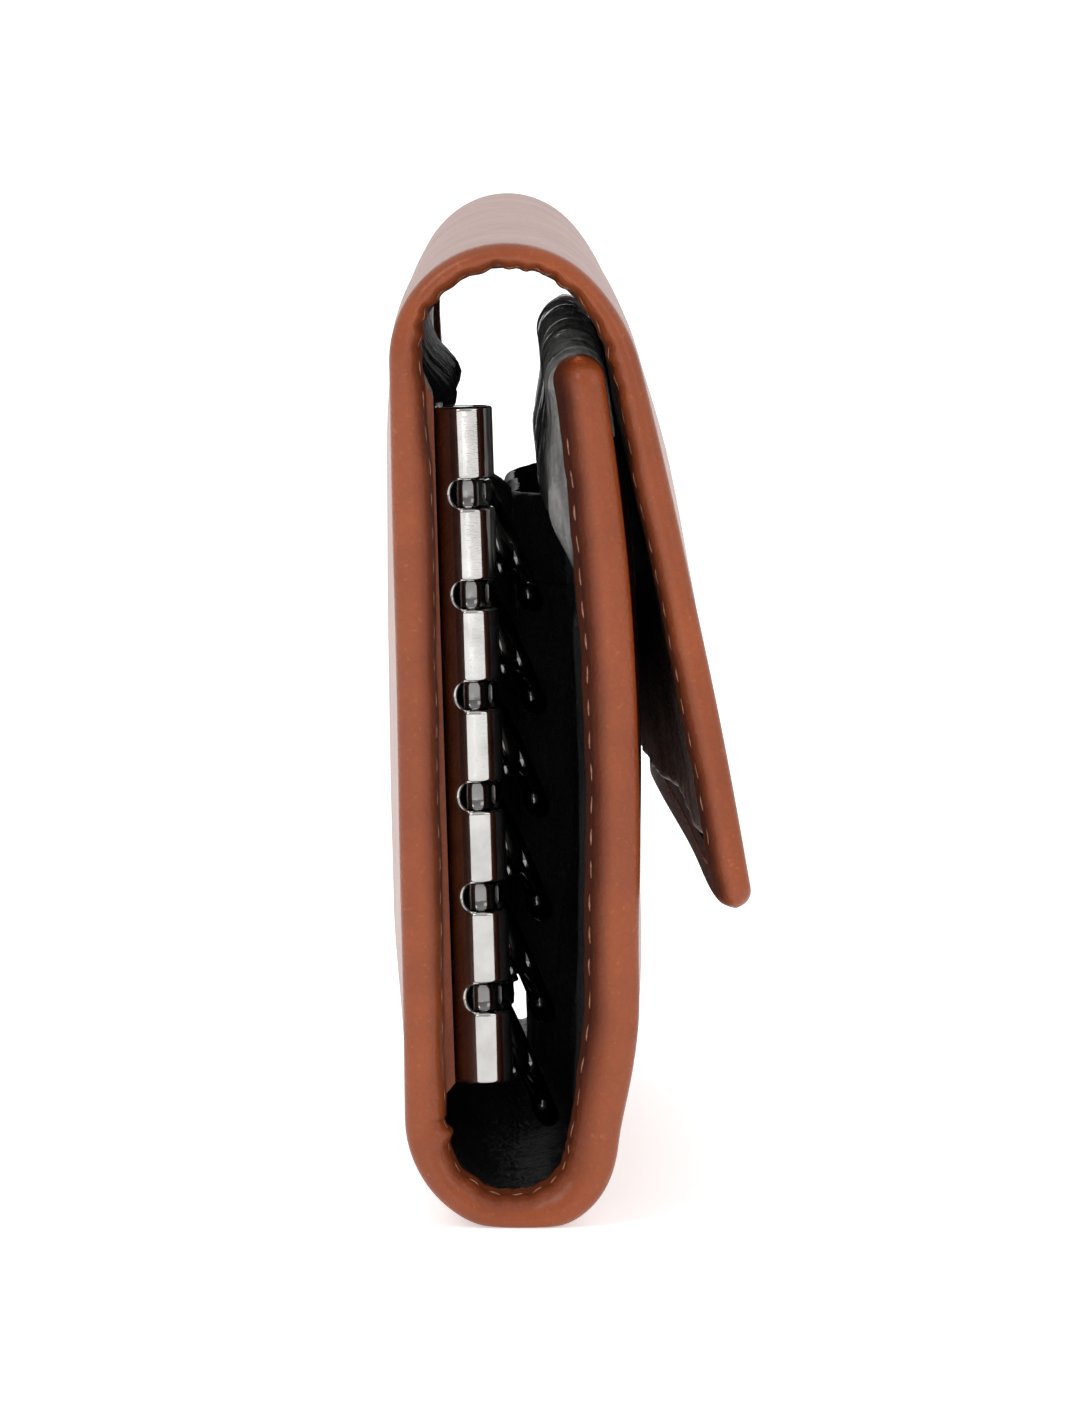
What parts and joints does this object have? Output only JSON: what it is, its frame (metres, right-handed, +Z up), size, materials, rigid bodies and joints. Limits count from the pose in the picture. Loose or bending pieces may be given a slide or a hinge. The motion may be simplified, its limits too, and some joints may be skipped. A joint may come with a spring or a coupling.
{
  "type": "key case",
  "caption": "Folded leather key case with an outside flap, dark lining and a plated rail of snap hooks inside, standing on its bottom fold.",
  "frame": {"origin": "middle of the flat on which the bottom fold stands", "axes": "+X from the back panel towards the flap, +Y along the folds away from the end that shows the rail's roll, +Z up"},
  "size_m": [0.0246, 0.112, 0.0668],
  "materials": {
    "tan_leather": "smooth tan calf leather",
    "black_lining": "thin black leather lining, fine grain",
    "board": "pressed leather board, hidden",
    "magnet": "plated magnet disc, hidden",
    "chrome_rail": "bright plating",
    "chrome_hook": "bright plating"
  },
  "bodies": {
    "back": {"back_panel_leather": "tan_leather", "back_panel_board": "board", "back_panel_lining": "black_lining", "bottom_fold_leather": "tan_leather", "bottom_fold_lining": "black_lining", "top_fold_leather": "tan_leather", "top_fold_lining": "black_lining", "rail_plate": "chrome_rail", "rail_axle": "chrome_rail", "rail_rivets": "chrome_rail"},
    "front": {"front_panel_leather": "tan_leather", "front_panel_board": "board", "front_panel_lining": "black_lining", "front_slip_pocket": "black_lining", "front_panel_magnets": "magnet"},
    "flap": {"flap_leather": "tan_leather", "flap_board": "board", "flap_lining": "black_lining", "flap_magnets": "magnet"},
    "hook_1_link": {"hook_1_link": "chrome_hook"},
    "hook_1_loop": {"hook_1_loop": "chrome_hook"},
    "hook_1_gate": {"hook_1_gate": "chrome_hook"},
    "hook_2_link": {"hook_2_link": "chrome_hook"},
    "hook_2_loop": {"hook_2_loop": "chrome_hook"},
    "hook_2_gate": {"hook_2_gate": "chrome_hook"},
    "hook_3_link": {"hook_3_link": "chrome_hook"},
    "hook_3_loop": {"hook_3_loop": "chrome_hook"},
    "hook_3_gate": {"hook_3_gate": "chrome_hook"},
    "hook_4_link": {"hook_4_link": "chrome_hook"},
    "hook_4_loop": {"hook_4_loop": "chrome_hook"},
    "hook_4_gate": {"hook_4_gate": "chrome_hook"},
    "hook_5_link": {"hook_5_link": "chrome_hook"},
    "hook_5_loop": {"hook_5_loop": "chrome_hook"},
    "hook_5_gate": {"hook_5_gate": "chrome_hook"},
    "hook_6_link": {"hook_6_link": "chrome_hook"},
    "hook_6_loop": {"hook_6_loop": "chrome_hook"},
    "hook_6_gate": {"hook_6_gate": "chrome_hook"}
  },
  "joints": [
    {"name": "flap_fold", "type": "hinge", "parent": "back", "child": "flap", "pos_m": [-0.001, 0, 0.066], "axis": [0, -1, 0], "range_deg": [-2, 158], "deforming": ["top_fold_leather", "top_fold_lining"]},
    {"name": "front_fold", "type": "hinge", "parent": "back", "child": "front", "pos_m": [0, 0, 0.0064], "axis": [0, 1, 0], "range_deg": [-0.32, 24.5], "deforming": ["bottom_fold_leather", "bottom_fold_lining"]},
    {"name": "hook_1_swing", "type": "hinge", "parent": "back", "child": "hook_1_link", "pos_m": [-0.00386, -0.049, 0.0496], "axis": [0.0314, 0, -0.9995], "range_deg": [-1.5, 1.6]},
    {"name": "hook_1_swivel", "type": "hinge", "parent": "hook_1_link", "child": "hook_1_loop", "pos_m": [-0.00344, -0.04557, 0.04961], "axis": [0.1258, 0.9587, -0.255], "range_deg": [-3.5, 4]},
    {"name": "hook_1_gate_open", "type": "hinge", "parent": "hook_1_loop", "child": "hook_1_gate", "pos_m": [-0.00109, -0.04036, 0.04447], "axis": [0.9137, -0.0118, 0.4063], "range_deg": [0, 24], "stiffness_Nm_per_rad": 0.002, "springref_deg": -5.73},
    {"name": "hook_2_swing", "type": "hinge", "parent": "back", "child": "hook_2_link", "pos_m": [-0.00365, -0.049, 0.04272], "axis": [0.0314, 0, -0.9995], "range_deg": [-1.5, 1.6]},
    {"name": "hook_2_swivel", "type": "hinge", "parent": "hook_2_link", "child": "hook_2_loop", "pos_m": [-0.00323, -0.04557, 0.04273], "axis": [0.1257, 0.9541, -0.2718], "range_deg": [-3.5, 4]},
    {"name": "hook_2_gate_open", "type": "hinge", "parent": "hook_2_loop", "child": "hook_2_gate", "pos_m": [-0.00088, -0.04045, 0.0375], "axis": [0.9145, -0.0053, 0.4045], "range_deg": [0, 24], "stiffness_Nm_per_rad": 0.002, "springref_deg": -5.73},
    {"name": "hook_3_swing", "type": "hinge", "parent": "back", "child": "hook_3_link", "pos_m": [-0.00343, -0.049, 0.03584], "axis": [0.0314, 0, -0.9995], "range_deg": [-1.5, 1.6]},
    {"name": "hook_3_swivel", "type": "hinge", "parent": "hook_3_link", "child": "hook_3_loop", "pos_m": [-0.00301, -0.04557, 0.03585], "axis": [0.1257, 0.9492, -0.2886], "range_deg": [-3.5, 4]},
    {"name": "hook_3_gate_open", "type": "hinge", "parent": "hook_3_loop", "child": "hook_3_gate", "pos_m": [-0.00067, -0.04054, 0.03053], "axis": [0.9154, 0.0012, 0.4026], "range_deg": [0, 24], "stiffness_Nm_per_rad": 0.002, "springref_deg": -5.73},
    {"name": "hook_4_swing", "type": "hinge", "parent": "back", "child": "hook_4_link", "pos_m": [-0.00321, -0.049, 0.02896], "axis": [0.0314, 0, -0.9995], "range_deg": [-1.5, 1.6]},
    {"name": "hook_4_swivel", "type": "hinge", "parent": "hook_4_link", "child": "hook_4_loop", "pos_m": [-0.00279, -0.04557, 0.02898], "axis": [0.1256, 0.944, -0.3052], "range_deg": [-3.5, 4]},
    {"name": "hook_4_gate_open", "type": "hinge", "parent": "hook_4_loop", "child": "hook_4_gate", "pos_m": [-0.00047, -0.04064, 0.02356], "axis": [0.9162, 0.0077, 0.4006], "range_deg": [0, 24], "stiffness_Nm_per_rad": 0.002, "springref_deg": -5.73},
    {"name": "hook_5_swing", "type": "hinge", "parent": "back", "child": "hook_5_link", "pos_m": [-0.003, -0.049, 0.02208], "axis": [0.0314, 0, -0.9995], "range_deg": [-1.5, 1.6]},
    {"name": "hook_5_swivel", "type": "hinge", "parent": "hook_5_link", "child": "hook_5_loop", "pos_m": [-0.00258, -0.04557, 0.0221], "axis": [0.1254, 0.9385, -0.3218], "range_deg": [-3.5, 4]},
    {"name": "hook_5_gate_open", "type": "hinge", "parent": "hook_5_loop", "child": "hook_5_gate", "pos_m": [-0.00026, -0.04073, 0.01659], "axis": [0.9171, 0.0141, 0.3984], "range_deg": [0, 24], "stiffness_Nm_per_rad": 0.002, "springref_deg": -5.73},
    {"name": "hook_6_swing", "type": "hinge", "parent": "back", "child": "hook_6_link", "pos_m": [-0.00278, -0.049, 0.01521], "axis": [0.0314, 0, -0.9995], "range_deg": [-1.5, 1.6]},
    {"name": "hook_6_swivel", "type": "hinge", "parent": "hook_6_link", "child": "hook_6_loop", "pos_m": [-0.00236, -0.04557, 0.01522], "axis": [0.1252, 0.9327, -0.3383], "range_deg": [-3.5, 4]},
    {"name": "hook_6_gate_open", "type": "hinge", "parent": "hook_6_loop", "child": "hook_6_gate", "pos_m": [-0.00005, -0.04083, 0.00962], "axis": [0.9179, 0.0205, 0.3962], "range_deg": [0, 24], "stiffness_Nm_per_rad": 0.002, "springref_deg": -5.73}
  ],
  "couplings": [
    {"joint": "front_fold", "follows": "flap_fold", "ratio": 0.155},
    {"joint": "hook_2_swing", "follows": "hook_1_swing", "ratio": 1},
    {"joint": "hook_2_swivel", "follows": "hook_1_swivel", "ratio": 1},
    {"joint": "hook_3_swing", "follows": "hook_1_swing", "ratio": 1},
    {"joint": "hook_3_swivel", "follows": "hook_1_swivel", "ratio": 1},
    {"joint": "hook_4_swing", "follows": "hook_1_swing", "ratio": 1},
    {"joint": "hook_4_swivel", "follows": "hook_1_swivel", "ratio": 1},
    {"joint": "hook_5_swing", "follows": "hook_1_swing", "ratio": 1},
    {"joint": "hook_5_swivel", "follows": "hook_1_swivel", "ratio": 1},
    {"joint": "hook_6_swing", "follows": "hook_1_swing", "ratio": 1},
    {"joint": "hook_6_swivel", "follows": "hook_1_swivel", "ratio": 1}
  ]
}
